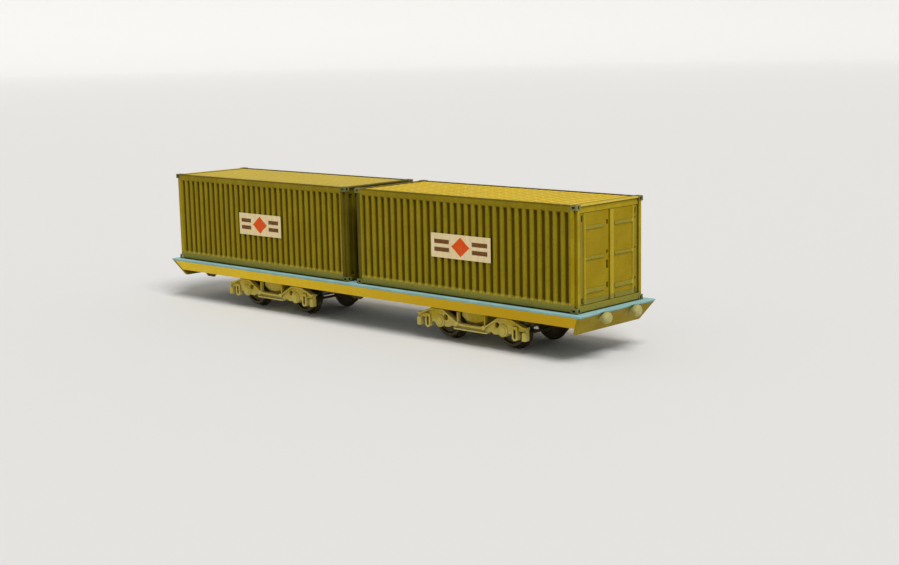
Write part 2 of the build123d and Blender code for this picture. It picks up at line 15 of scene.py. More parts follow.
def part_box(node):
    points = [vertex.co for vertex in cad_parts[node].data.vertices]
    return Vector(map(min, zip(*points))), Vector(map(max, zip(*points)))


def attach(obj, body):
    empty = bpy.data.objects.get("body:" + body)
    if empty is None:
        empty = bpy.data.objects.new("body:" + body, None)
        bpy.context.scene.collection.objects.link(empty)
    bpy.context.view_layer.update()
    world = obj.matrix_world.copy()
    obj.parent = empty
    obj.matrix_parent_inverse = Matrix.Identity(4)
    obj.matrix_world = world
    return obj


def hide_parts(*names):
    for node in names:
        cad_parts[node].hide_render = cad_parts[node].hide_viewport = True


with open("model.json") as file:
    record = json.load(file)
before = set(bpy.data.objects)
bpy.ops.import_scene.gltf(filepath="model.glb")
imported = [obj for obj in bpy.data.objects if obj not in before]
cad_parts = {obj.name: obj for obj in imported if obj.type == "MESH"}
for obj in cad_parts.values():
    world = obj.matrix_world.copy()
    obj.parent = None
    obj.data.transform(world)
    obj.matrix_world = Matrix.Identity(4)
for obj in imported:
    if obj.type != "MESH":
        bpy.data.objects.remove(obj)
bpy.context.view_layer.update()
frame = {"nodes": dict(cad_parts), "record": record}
nodes = frame["nodes"]

MM = 0.001
DECK_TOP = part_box("deck_plate")[1][2] / MM
CONTAINERS = {}
for letter, turn in (("a", -1), ("b", 1)):
    low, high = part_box(f"container_{letter}_corner_castings")
    CONTAINERS[letter] = ((low[0] + high[0]) / 2 / MM, turn)
CENTRE_X = (CONTAINERS["a"][0] + CONTAINERS["b"][0]) / 2
CONTAINER_SPACING = CONTAINERS["b"][0] - CENTRE_X

# The long walls of a container, in its own frame: +X towards the doors, Z = 0 under the corner castings
WALL_HALF = 38.4
WALL_BACK_Y = 12.9
RAIL_Y, CREST_Y = 14.08, 14.03
RAIL_LOW, RAIL_TOP = 0.3, 27.68
WALL_LOW, WALL_TOP = 2.1, 25.98
RECESS_PITCH, RECESS_COUNT, RECESS_DEPTH = 2.55, 30, 0.75
RECESS_MOUTH, RECESS_FLAT = 0.74, 0.38
FOOT_SLOPE, HEAD_SLOPE = 0.9, 0.5
ROOF_TOP, ROOF_BACK, ROOF_ROWS = 27.5, 26.8, 9
ROOF_ROW_PITCH = 2 * WALL_BACK_Y / ROOF_ROWS
ROOF_GROOVE_DEPTH = {"a": 0.07, "b": 0.14}
ROOF_GROOVE_HALF, ROOF_GROOVE_SLOPE = 0.24, 0.16
ROOF_TILE_CROWN = 0.03
EDGE_ROUNDING = 0.12

# Where the paint, and the painted light and shade, change on the door end, the rails and the deck, in the
# same frame
DOOR_END_X = 39.7
DOOR_BAND_X, DOOR_BAND_Y = 40.0, 10.0
DOOR_BANDS_Z = ((4.75, 5.9), (13.35, 14.1), (21.25, 22.1))
DOOR_STRIP_X = 40.14
DOOR_UPRIGHT_Y = (9.75, 10.45)
DOOR_MARGIN_Y = 11.0
DOOR_FOOT_Z, END_FOOT_Z = 3.3, 2.2
LIP_Z, LIP_SHADOW_Z = 27.35, (27.05, 27.25)
POST_STEP_X, POST_SIDE_Y = (39.42, 40.28), 13.4
ROOF_EDGE_SHADOW_HEIGHT = 0.38
SHADE_FROM_DEPTH, SHADE_FULL_DEPTH = 0.15, 0.7
TILE_LINE = (0.12, 0.34)
STAND_HALF_LENGTH, STAND_HALF_WIDTH = 40.35, 14.2
STAND_SHADOW = (-0.7, 0.2)

# Where the paint changes on the bogies and the sills, in the frame of the car: a middle and half a width
PALE_BELOW_Z, PALE_FADE = 6.2, 2.0
SILL_BROWN_X, SILL_BROWN_FADE = 10.0, 70.0

# The sign: how far its parts reach from its middle, in millimetres
SIGN_Z = 13.9
DIAMOND_HEIGHT, DIAMOND_SLOPE = 2.675, 0.8
STRIPE_Z, STRIPE_START, STRIPE_MARGIN = (0.5, 1.7), 4.2, 1.1

# Paint and plastic in general
PAINT_GRAIN = 1.6
METAL_RELIEF = 0.01


# ---------------------------------------------------------------- shader graphs

def srgb(red, green, blue):
    """A linear colour from 0-255 screen values."""
    def linear(value):
        value /= 255
        return value / 12.92 if value <= 0.04045 else ((value + 0.055) / 1.055) ** 2.4
    return (linear(red), linear(green), linear(blue), 1.0)


class Graph:
    """A material under construction. Each call adds a node and returns its output socket."""

    def __init__(self, name):
        self.material = bpy.data.materials.new(name)
        self.material.use_nodes = True
        self.tree = self.material.node_tree
        self.surface = self.tree.nodes["Principled BSDF"]
        coordinates = self.tree.nodes.new("ShaderNodeTexCoord").outputs["Object"]
        self.place = self.add("ShaderNodeVectorMath", {0: coordinates, "Scale": 1 / MM}, operation="SCALE")

    def add(self, kind, inputs, output=0, **settings):
        node = self.tree.nodes.new(kind)
        for key, value in settings.items():
            setattr(node, key, value)
        for key, value in inputs.items():
            if isinstance(value, bpy.types.NodeSocket):
                self.tree.links.new(value, node.inputs[key])
            else:
                node.inputs[key].default_value = value
        return node.outputs[output]

    def noise(self, scale, detail=3.0, roughness=0.55, stretch=(1, 1, 1)):
        """Noise with the given number of features per millimetre."""
        place = self.place
        if stretch != (1, 1, 1):
            place = self.add("ShaderNodeVectorMath", {0: place, 1: stretch}, operation="MULTIPLY")
        inputs = {"Vector": place, "Scale": scale, "Detail": detail, "Roughness": roughness}
        return self.add("ShaderNodeTexNoise", inputs)

    def ramp(self, value, low, high, to_low=0.0, to_high=1.0):
        """The value mapped from one range to another, and held at its ends."""
        inputs = {0: value, 1: low, 2: high, 3: to_low, 4: to_high}
        return self.add("ShaderNodeMapRange", inputs, interpolation_type="SMOOTHSTEP")

    def math(self, operation, a, b=0.0):
        return self.add("ShaderNodeMath", {0: a, 1: b}, operation=operation)

    def mix(self, share, a, b):
        return self.add("ShaderNodeMix", {0: share, 6: a, 7: b}, output=2, data_type="RGBA")

    def tint(self, colour, mask, share, other):
        """The colour, turned by the given share towards another one where the mask is 1."""
        return self.mix(self.math("MULTIPLY", mask, share), colour, other)

    def coordinate(self, axis):
        split = self.tree.nodes.new("ShaderNodeSeparateXYZ")
        self.tree.links.new(self.place, split.inputs[0])
        return split.outputs[axis]

    def edges(self, radius):
        """1 on edges that stick out, 0 on flat ground: how far a rounded normal leans from the true one."""
        rounded = self.add("ShaderNodeBevel", {"Radius": radius * MM}, samples=6)
        true = self.tree.nodes.new("ShaderNodeNewGeometry").outputs["Normal"]
        agreement = self.add("ShaderNodeVectorMath", {0: rounded, 1: true}, output=1, operation="DOT_PRODUCT")
        return self.ramp(agreement, 0.995, 0.86)

    def hollows(self, distance):
        """1 deep in corners and gaps, 0 in the open."""
        open_share = self.add("ShaderNodeAmbientOcclusion", {"Distance": distance * MM}, output=1, samples=8)
        return self.ramp(open_share, 0.85, 0.25)

    def past(self, value, edge, soft=0.05):
        """1 beyond an edge and 0 before it, fading over a short distance on both sides."""
        return self.ramp(value, edge - soft, edge + soft)

    def short_of(self, value, edge, soft=0.05):
        return self.ramp(value, edge + soft, edge - soft)

    def band(self, value, low, high, soft=0.05):
        """1 where the value lies between low and high."""
        return self.math("MULTIPLY", self.past(value, low, soft), self.short_of(value, high, soft))

    def all_of(self, masks):
        total = masks[0]
        for mask in masks[1:]:
            total = self.math("MULTIPLY", total, mask)
        return total

    def any_of(self, masks):
        total = masks[0]
        for mask in masks[1:]:
            total = self.math("MAXIMUM", total, mask)
        return total

    def out_along(self):
        """Distance from the middle of a container along the car, in millimetres, on its outer half."""
        from_centre = self.math("ABSOLUTE", self.math("SUBTRACT", self.coordinate("X"), CENTRE_X))
        return self.math("SUBTRACT", from_centre, CONTAINER_SPACING)

    def out_across(self):
        return self.math("ABSOLUTE", self.coordinate("Y"))

    def height(self):
        """Height above the deck, in millimetres."""
        return self.math("SUBTRACT", self.coordinate("Z"), DECK_TOP)

    def from_line(self, value, first_line, pitch):
        """Distance to the nearest of a row of evenly spaced lines, in millimetres."""
        return self.math("PINGPONG", self.math("SUBTRACT", value, first_line), pitch / 2)

    def from_recess(self):
        """Distance along the car to the middle of the nearest recess in a long wall."""
        return self.from_line(self.out_along(), -(RECESS_COUNT - 1) / 2 * RECESS_PITCH, RECESS_PITCH)

    def facing_up(self):
        normal = self.tree.nodes.new("ShaderNodeNewGeometry").outputs["Normal"]
        split = self.tree.nodes.new("ShaderNodeSeparateXYZ")
        self.tree.links.new(normal, split.inputs[0])
        return self.ramp(split.outputs["Z"], 0.2, 0.9)

    def finish(self, colour, roughness, height, relief, metallic=0.0, specular=0.5):
        """Joins the results to the surface. relief is how high the bumps stand, in millimetres."""
        normal = self.add("ShaderNodeBump", {"Height": height, "Distance": relief * MM, "Strength": 1.0})
        for socket, result in (("Base Color", colour), ("Roughness", roughness), ("Normal", normal)):
            self.tree.links.new(result, self.surface.inputs[socket])
        self.surface.inputs["Metallic"].default_value = metallic
        self.surface.inputs["Specular IOR Level"].default_value = specular
        return self.material


# ---------------------------------------------------------------- colours

OLIVE = srgb(138, 119, 6)
OLIVE_LIGHT = srgb(160, 140, 20)
OLIVE_DARK = srgb(56, 46, 2)
GREY_GREEN = srgb(122, 123, 60)
# Several colours below are painted light: shade in the recesses, in the steps and on the deck round the
# containers, highlights at the bottom of the ribs and on the door-end lip, and a dusty colour that also
# lightens top faces.
RECESS_SHADE = srgb(80, 67, 2)
STREAK = srgb(112, 98, 8)
RIB_FOOT_HIGHLIGHT = srgb(186, 176, 96)
STEP_SHADE = srgb(84, 70, 4)
BAND_GREY = srgb(140, 134, 50)
UPRIGHT_PALE = srgb(196, 172, 50)
LIP_HIGHLIGHT = srgb(222, 198, 84)
TILE_LINE_DARK = srgb(112, 86, 8)
ROOF_STAIN = srgb(186, 164, 70)
ROOF_GREY = srgb(166, 152, 72)
SIGN_BROWN = srgb(112, 72, 38)
SIGN_ORANGE = srgb(226, 82, 20)
DUST_AND_TOP_HIGHLIGHT = srgb(214, 208, 178)
LOW_PALE_GREY = srgb(188, 182, 118)
SILL_BROWN = srgb(204, 162, 4)
DECK_SHADE = srgb(54, 58, 34)


# ---------------------------------------------------------------- materials

def paint(name, base, light, dark, roughness=(0.45, 0.65), wear_and_highlight=0.6, hollow_shade=0.7, dust_and_top_highlight=0.0, relief=0.015,
          specular=0.1, marks=None):
    """Painted plastic: uneven colour, any marks, painted shade in corners and gaps, pale edges from rubbing
    with painted highlights on them, a dusty look with a painted highlight on top faces, and a fine grain.
    """
    g = Graph(name)
    colour = g.mix(g.ramp(g.noise(0.16, 4.0, 0.6), 0.38, 0.68, 0.0, 0.4), base, light)
    if marks is not None:
        colour = marks(g, colour)
    speckle = g.ramp(g.noise(PAINT_GRAIN, 5.0, 0.65), 0.5, 0.78)
    colour = g.tint(colour, speckle, 0.4, dark)
    # Painted shade: darker in corners and gaps.
    colour = g.tint(colour, g.hollows(1.3), hollow_shade, dark)
    # Pale edges: rubbed paint, and painted highlights along the edges.
    worn_and_lit_edges = g.all_of([g.edges(0.16), g.ramp(g.noise(0.9, 3.0), 0.35, 0.62)])
    colour = g.tint(colour, worn_and_lit_edges, wear_and_highlight, light)
    # Dusty top faces, which also serve as the light falling on them: a painted highlight.
    if dust_and_top_highlight > 0:
        dust_and_lit_tops = g.all_of([g.facing_up(), g.ramp(g.noise(0.5, 5.0, 0.7), 0.3, 0.75)])
        colour = g.tint(colour, dust_and_lit_tops, dust_and_top_highlight, DUST_AND_TOP_HIGHLIGHT)
    shine = g.ramp(g.noise(0.45, 4.0), 0.3, 0.7, *roughness)
    return g.finish(colour, shine, g.noise(PAINT_GRAIN * 1.7, 6.0, 0.7), relief, specular=specular)


def metal(name, base, dark, roughness=(0.25, 0.45), metallic=1.0, turned=(1, 1, 1)):
    """Turned or drawn metal with fine marks and tarnish in the corners."""
    g = Graph(name)
    scratches = g.noise(2.2, 5.0, 0.7, turned)
    colour = g.tint(base, g.ramp(g.noise(0.5, 4.0), 0.4, 0.75), 0.6, dark)
    colour = g.tint(colour, g.hollows(0.8), 0.6, dark)
    shine = g.ramp(scratches, 0.3, 0.7, *roughness)
    return g.finish(colour, shine, scratches, METAL_RELIEF, metallic=metallic)


def bare_foot(g, colour, top, share):
    """The paint is thin and greyer towards the bottom of a container."""
    patchy = g.ramp(g.noise(0.6, 4.0), 0.25, 0.6, 0.6, 1.0)
    low = g.short_of(g.height(), top + 0.05, 0.2)
    return g.tint(colour, g.all_of([low, patchy]), share, GREY_GREEN)


def wall_marks(g, colour):
    """Streaks, painted highlights on the crests and the feet of the ribs, painted shade in the recesses, a
    painted shadow line under the roof edge at the top, and a grey rail.
    """
    streaks = g.ramp(g.noise(1.1, 4.0, 0.6, (1, 1, 0.06)), 0.42, 0.72)
    colour = g.tint(colour, streaks, 0.35, STREAK)
    from_recess = g.from_recess()
    # Painted highlight along the crests of the ribs.
    crest_highlight = g.all_of([g.ramp(from_recess, 0.8, 1.2), g.band(g.height(), WALL_LOW + 0.4, WALL_TOP)])
    colour = g.tint(colour, crest_highlight, 0.5, OLIVE_LIGHT)
    # Painted highlight where the ledge at the bottom of each rib catches the light.
    rib_foot_highlight = g.all_of([g.ramp(from_recess, 0.6, 0.9), g.band(g.height(), WALL_LOW, WALL_LOW + 0.6, 0.15)])
    colour = g.tint(colour, rib_foot_highlight, 0.5, RIB_FOOT_HIGHLIGHT)
    # Painted shade low in the recesses.
    shade_in_recess = g.ramp(g.out_across(), CREST_Y - SHADE_FROM_DEPTH, CREST_Y - SHADE_FULL_DEPTH)
    colour = g.tint(colour, shade_in_recess, 0.85, RECESS_SHADE)
    # Painted shadow: a dark line at the top of the wall, under the roof edge.
    shadow_under_roof_edge = g.past(g.height(), RAIL_TOP - ROOF_EDGE_SHADOW_HEIGHT)
    colour = g.tint(colour, shadow_under_roof_edge, 0.5, OLIVE_DARK)
    return bare_foot(g, colour, WALL_LOW - 0.1, 0.8)


def door_marks(g, colour):
    """Grey wear on the raised bands, the hinge edge and the bottom, and paler uprights and strip."""
    raised = g.past(g.out_along(), DOOR_BAND_X, 0.04)
    bands = g.any_of([g.band(g.height(), *span) for span in DOOR_BANDS_Z])
    inside = g.short_of(g.out_across(), DOOR_BAND_Y)
    rubbed = g.ramp(g.noise(0.8, 4.0), 0.2, 0.55, 0.55, 1.0)
    colour = g.tint(colour, g.all_of([raised, bands, inside, rubbed]), 0.85, BAND_GREY)
    strip = g.past(g.out_along(), DOOR_STRIP_X, 0.04)
    pale = g.any_of([strip, g.band(g.out_across(), *DOOR_UPRIGHT_Y)])
    colour = g.tint(colour, g.all_of([pale, raised]), 0.5, UPRIGHT_PALE)
    colour = g.tint(colour, g.past(g.out_across(), DOOR_MARGIN_Y, 0.1), 0.55, GREY_GREEN)
    return bare_foot(g, colour, DOOR_FOOT_Z, 0.7)


def end_marks(g, colour):
    """A painted highlight on the lip and a painted shadow line under it at the top of the door end, painted
    shade in the steps beside the posts, and greyer paint at the bottom.
    """
    door_end = g.past(g.out_along(), DOOR_END_X, 0.1)
    # Painted highlight on the lip at the top of the door end, and a painted shadow line under it.
    colour = g.tint(colour, g.all_of([door_end, g.past(g.height(), LIP_Z)]), 0.7, LIP_HIGHLIGHT)
    colour = g.tint(colour, g.all_of([door_end, g.band(g.height(), *LIP_SHADOW_Z, 0.06)]), 0.8, OLIVE_DARK)
    # Painted shade in the steps beside the corner posts.
    step = g.all_of([g.band(g.out_along(), *POST_STEP_X), g.past(g.out_across(), POST_SIDE_Y, 0.1)])
    colour = g.tint(colour, step, 0.45, STEP_SHADE)
    return bare_foot(g, colour, END_FOOT_Z, 0.7)


def roof_marks(g, colour):
    """Darker lines between the tiles, fainter on container a, and a stained patch here and there."""
    from_row_line = g.from_line(g.out_across(), -ROOF_ROW_PITCH / 2, ROOF_ROW_PITCH)
    nearest = g.math("MINIMUM", g.from_recess(), from_row_line)
    strength = g.ramp(g.coordinate("X"), CENTRE_X - 1, CENTRE_X + 1, 0.4, 0.85)
    colour = g.tint(colour, g.ramp(nearest, *reversed(TILE_LINE)), strength, TILE_LINE_DARK)
    stains = g.ramp(g.noise(0.07, 4.0, 0.65), 0.5, 0.7)
    colour = g.tint(colour, stains, 0.35, ROOF_STAIN)
    on_a = g.short_of(g.coordinate("X"), CENTRE_X, 1.0)
    return g.tint(colour, on_a, 0.5, ROOF_GREY)


def sign_marks(letter):
    """A made-up freight sign: a diamond between two pairs of dark stripes."""
    low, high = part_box(f"container_{letter}_labels")
    middle = (low[0] + high[0]) / 2 / MM
    half = (high[0] - low[0]) / 2 / MM

    def marks(g, colour):
        along = g.math("ABSOLUTE", g.math("SUBTRACT", g.coordinate("X"), middle))
        up = g.math("ABSOLUTE", g.math("SUBTRACT", g.height(), SIGN_Z))
        slope = g.math("ADD", g.math("MULTIPLY", along, DIAMOND_SLOPE), up)
        lengths = g.band(along, STRIPE_START, half - STRIPE_MARGIN, 0.08)
        colour = g.mix(g.all_of([g.band(up, *STRIPE_Z, 0.08), lengths]), colour, SIGN_BROWN)
        return g.mix(g.short_of(slope, DIAMOND_HEIGHT, 0.075), colour, SIGN_ORANGE)
    return marks


def bogie_marks(g, colour):
    """Paler and greyer in patches, more so towards the bottom."""
    low = g.short_of(g.coordinate("Z"), PALE_BELOW_Z, PALE_FADE)
    patchy = g.ramp(g.noise(0.7, 4.0, 0.65), 0.35, 0.65, 0.25, 1.0)
    return g.tint(colour, g.all_of([low, patchy]), 0.7, LOW_PALE_GREY)


def sill_marks(g, colour):
    """The paint of the side sills is browner towards end b."""
    towards_b = g.past(g.coordinate("X"), SILL_BROWN_X, SILL_BROWN_FADE)
    return g.tint(colour, towards_b, 0.9, SILL_BROWN)


def deck_marks(g, colour):
    """A painted shadow line round the bottom of each container, and painted shade on the deck under it."""
    past_end = g.math("SUBTRACT", g.math("ABSOLUTE", g.out_along()), STAND_HALF_LENGTH)
    past_side = g.math("SUBTRACT", g.out_across(), STAND_HALF_WIDTH)
    outside = g.math("MAXIMUM", past_end, past_side)
    # Painted shadow round the base of each container, and painted shade under it.
    rim = g.math("MULTIPLY", g.band(outside, *STAND_SHADOW, 0.12), 0.75)
    shade_under_container = g.math("MULTIPLY", g.short_of(outside, -0.1, 0.2), 0.3)
    return g.mix(g.any_of([rim, shade_under_container]), colour, DECK_SHADE)


MATERIALS = {
    "deck_paint": paint("deck_paint", srgb(138, 184, 186), srgb(168, 212, 212), srgb(74, 104, 92), dust_and_top_highlight=0.1,
                        marks=deck_marks),
    # The sills' bright ochre is partly a painted reflection of a yellow floor below them; the headstocks'
    # material after it is the same paint in a darker, shaded copy.
    "sill_paint": paint("sill_paint", srgb(240, 201, 26), srgb(248, 216, 66), srgb(196, 156, 16), hollow_shade=0.3,
                        marks=sill_marks),
    "headstock_paint": paint("headstock_paint", srgb(150, 128, 12), srgb(172, 150, 36), srgb(96, 78, 6),
                             hollow_shade=0.4),
    # Near black: painted shade for the heavy shadow under the car.
    "underframe_paint": paint("underframe_paint", srgb(38, 34, 20), srgb(58, 52, 32), srgb(14, 12, 6)),
    "lug_plastic": paint("lug_plastic", srgb(58, 52, 26), srgb(86, 78, 44), srgb(24, 20, 8)),
    "buffer_plastic": paint("buffer_plastic", srgb(164, 158, 94), srgb(198, 192, 136), srgb(104, 94, 34),
                            roughness=(0.3, 0.45), hollow_shade=0.6),
    "bogie_khaki": paint("bogie_khaki", srgb(192, 167, 28), srgb(226, 214, 134), srgb(62, 50, 6), wear_and_highlight=0.95,
                         hollow_shade=0.95, dust_and_top_highlight=0.15, relief=0.03, marks=bogie_marks),
    "spring_dark": paint("spring_dark", srgb(140, 120, 24), srgb(190, 174, 84), srgb(44, 36, 6), wear_and_highlight=0.9),
    # Near black: painted shade for the heavy shadow under the car.
    "brake_dark": paint("brake_dark", srgb(52, 46, 20), srgb(84, 76, 40), srgb(18, 14, 4)),
    # One olive paint at different brightness, as painted light and shade: the roof lightest as lit from
    # above, the door end and the doors brighter than the long walls, and the front ends dark in the gap
    # between the containers.
    "container_wall": paint("container_wall", OLIVE, OLIVE_LIGHT, OLIVE_DARK, marks=wall_marks),
    "container_end": paint("container_end", srgb(162, 138, 10), srgb(188, 164, 34), srgb(66, 54, 4), hollow_shade=0.8,
                           marks=end_marks),
    "container_front": paint("container_front", srgb(92, 80, 6), srgb(112, 98, 20), srgb(36, 30, 2),
                             hollow_shade=0.9),
    "roof_olive": paint("roof_olive", srgb(222, 187, 36), srgb(230, 200, 62), srgb(158, 128, 22), hollow_shade=0.35,
                        specular=0.06, marks=roof_marks),
    "door_olive": paint("door_olive", srgb(150, 126, 4), srgb(168, 146, 22), srgb(72, 58, 4),
                        marks=door_marks),
    "floor_plastic": paint("floor_plastic", srgb(70, 62, 28), srgb(96, 86, 44), srgb(30, 26, 10)),
    "casting_grey": paint("casting_grey", srgb(104, 104, 48), srgb(166, 164, 108), srgb(34, 32, 10),
                          wear_and_highlight=0.95),
    "screw_steel": metal("screw_steel", srgb(190, 190, 184), srgb(96, 92, 84)),
    "pin_steel": metal("pin_steel", srgb(186, 184, 176), srgb(90, 86, 76)),
    "axle_steel": metal("axle_steel", srgb(150, 146, 132), srgb(64, 58, 42), turned=(1, 8, 1)),
    # Dark brown: the wheels' own dark finish, made darker still as painted shade under the car.
    "wheel_steel": metal("wheel_steel", srgb(74, 66, 38), srgb(22, 18, 8), roughness=(0.35, 0.55),
                         metallic=0.55),
    "bearing_brass": metal("bearing_brass", srgb(206, 170, 96), srgb(120, 88, 40)),
}
for letter in CONTAINERS:
    name = f"label_paper_{letter}"
    MATERIALS[name] = paint(name, srgb(234, 212, 162), srgb(242, 226, 184), srgb(190, 160, 104), hollow_shade=0.2,
                            wear_and_highlight=0.2, roughness=(0.55, 0.7), marks=sign_marks(letter))

SLOT_MATERIALS = {"container_olive": "container_end", "label_paper": "label_paper_b"}
# Darker copies as painted shade: the headstocks, the brake gear and the front ends that face each other.
NODE_MATERIALS = {
    "headstock_a": "headstock_paint",
    "headstock_b": "headstock_paint",
    "bogie_a_brake_gear": "brake_dark",
    "bogie_b_brake_gear": "brake_dark",
    "container_a_front_end": "container_front",
    "container_b_front_end": "container_front",
}


# ---------------------------------------------------------------- CAD nodes

SLOTS = {row["node"]: row["material_slot"] for row in frame["record"]["subparts"]}
SHARP = math.radians(28)
EDGE_ROUND = 0.09 * MM


def dress(node):
    """Gives a CAD node its material, and rounds its edges with modifiers."""
    slot = SLOTS[node.name]
    node.data.materials.clear()
    node.data.materials.append(MATERIALS[NODE_MATERIALS.get(node.name, SLOT_MATERIALS.get(slot, slot))])
    weld = node.modifiers.new("weld", "WELD")
    weld.merge_threshold = 0.002 * MM
    bevel = node.modifiers.new("bevel", "BEVEL")
    bevel.width = EDGE_ROUND
    bevel.segments = 2
    bevel.limit_method = "ANGLE"
    bevel.angle_limit = SHARP
    weighted = node.modifiers.new("weighted", "WEIGHTED_NORMAL")
    weighted.keep_sharp = False


for cad_node in nodes.values():
    dress(cad_node)


# ---------------------------------------------------------------- pieces drawn here

def smooth(value):
    """A soft step: 0 below 0, 1 above 1."""
    value = min(max(value, 0.0), 1.0)
    return value * value * (3 - 2 * value)


def spread(count, pitch):
    return [(number - (count - 1) / 2) * pitch for number in range(count)]


def in_car(letter, x, y, z):
    """A point of a container's own frame in the frame of the car, in metres."""
    middle, turn = CONTAINERS[letter]
    return Vector((middle + turn * x, turn * y, DECK_TOP + z)) * MM


def closed_sheet(shape, rows, back_rows):
    """Adds a grid of front points, a flat back with the same rim, and the edges between them."""
    grid = [[shape.verts.new(point) for point in row] for row in rows]
    back = [[shape.verts.new(point) for point in row] for row in back_rows]
    for sheet in (grid, back):
        for lower, upper in zip(sheet, sheet[1:]):
            for corners in zip(lower, lower[1:], upper[1:], upper):
                shape.faces.new(corners)

    def rim(sheet):
        return (sheet[0] + [row[-1] for row in sheet[1:-1]] + sheet[-1][::-1]
                + [row[0] for row in sheet[-2:0:-1]])
    front_rim, back_rim = rim(grid), rim(back)
    for corners in zip(front_rim, front_rim[1:] + front_rim[:1], back_rim[1:] + back_rim[:1], back_rim):
        shape.faces.new(corners)


def add_piece(name, shape, material, slot, body, *replaced):
    bmesh.ops.recalc_face_normals(shape, faces=shape.faces)
    mesh = bpy.data.meshes.new(name)
    shape.to_mesh(mesh)
    shape.free()
    mesh.shade_smooth()
    mesh.set_sharp_from_angle(angle=math.radians(50))
    mesh.materials.append(MATERIALS[material])
    piece = bpy.data.objects.new(name, mesh)
    bpy.context.scene.collection.objects.link(piece)
    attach(piece, body)
    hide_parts(*replaced)


RECESSES = spread(RECESS_COUNT, RECESS_PITCH)


def recess_share(x):
    """0 on a crest and 1 on the bottom of a recess."""
    distance = min(abs(x - middle) for middle in RECESSES)
    return smooth((RECESS_MOUTH - distance) / (RECESS_MOUTH - RECESS_FLAT))


def wall_level(x, z):
    """How far out the face of a long wall is: rails with rounded edges, and recesses with sloping ends."""
    near_edge = min(z - RAIL_LOW, RAIL_TOP - z, EDGE_ROUNDING)
    edge = EDGE_ROUNDING - math.sqrt(EDGE_ROUNDING**2 - (EDGE_ROUNDING - near_edge) ** 2)
    between = smooth((z - WALL_LOW) / EDGE_ROUNDING) * smooth((WALL_TOP - z) / EDGE_ROUNDING)
    level = RAIL_Y - (RAIL_Y - CREST_Y) * between - edge
    pocket = smooth((z - WALL_LOW) / FOOT_SLOPE) * smooth((WALL_TOP - z) / HEAD_SLOPE)
    ripple = 0.015 * (1 + math.sin(0.37 * x + 0.9 * math.sin(0.23 * z))) * between
    return level - RECESS_DEPTH * recess_share(x) * pocket - ripple


def wall_columns():
    offsets = (0.36, 0.44, 0.52, 0.6, 0.68, 0.76)
    columns = [-WALL_HALF, -WALL_HALF + 0.3]
    for middle in RECESSES:
        columns += [middle - offset for offset in offsets[::-1]]
        columns += [middle] + [middle + offset for offset in offsets]
    return columns + [WALL_HALF - 0.3, WALL_HALF]


def wall_rows():
    edge = (0.0, 0.02, 0.05, EDGE_ROUNDING)
    rows = [RAIL_LOW + step for step in edge] + [1.2, WALL_LOW]
    rows += [WALL_LOW + FOOT_SLOPE * step / 8 for step in range(1, 9)]
    rows += [4.0 + 1.0 * step for step in range(21)]
    rows += [WALL_TOP - HEAD_SLOPE * step / 6 for step in range(6, -1, -1)]
    return rows + [WALL_TOP + EDGE_ROUNDING, 26.8] + [RAIL_TOP - step for step in edge[::-1]]


def container_wall(letter, side, sign):
    columns, rows = wall_columns(), wall_rows()
    shape = bmesh.new()
    front = [[in_car(letter, x, sign * wall_level(x, z), z) for x in columns] for z in rows]
    back = [[in_car(letter, x, sign * WALL_BACK_Y, z) for x in columns] for z in rows]
    closed_sheet(shape, front, back)
    node = f"container_{letter}_side_{side}"
    add_piece(f"{node}_pressed", shape, "container_wall", "container_olive", f"container_{letter}", node)


ROOF_LINES = spread(ROOF_ROWS - 1, ROOF_ROW_PITCH)


def roof_level(letter, x, y):
    """Low tiles between grooves, each with a slight crown and its own height."""
    across = min(abs(x - line) for line in RECESSES)
    along = min(abs(y - line) for line in ROOF_LINES)
    groove = smooth((ROOF_GROOVE_HALF - min(across, along)) / ROOF_GROOVE_SLOPE)
    crown = smooth(across / 1.0) * smooth(along / 1.1)
    column = round(x / RECESS_PITCH)
    row = math.floor(y / ROOF_ROW_PITCH + 0.5)
    uneven = math.sin(12.99 * column + 78.23 * row)
    depth = ROOF_GROOVE_DEPTH[letter]
    return ROOF_TOP - depth * groove - ROOF_TILE_CROWN * (1 - crown) + depth * 0.12 * uneven * crown


def grooved(lines, half):
    offsets = (0.08, 0.13, 0.18, 0.24, 0.4)
    places = {-half, half}
    for line in lines:
        places.update([line] + [line + sign * offset for offset in offsets for sign in (-1, 1)])
    gaps = [(a + b) / 2 for a, b in zip(lines, lines[1:])]
    return sorted(places.union(gaps, ((lines[0] - half) / 2, (lines[-1] + half) / 2)))


def container_roof(letter):
    columns = grooved(RECESSES, WALL_HALF)
    rows = grooved(ROOF_LINES, WALL_BACK_Y)
    shape = bmesh.new()
    front = [[in_car(letter, x, y, roof_level(letter, x, y)) for x in columns] for y in rows]
    back = [[in_car(letter, x, y, ROOF_BACK) for x in columns] for y in rows]
    closed_sheet(shape, front, back)
    node = f"container_{letter}_roof"
    add_piece(f"{node}_tiled", shape, "roof_olive", "roof_olive", f"container_{letter}", node)


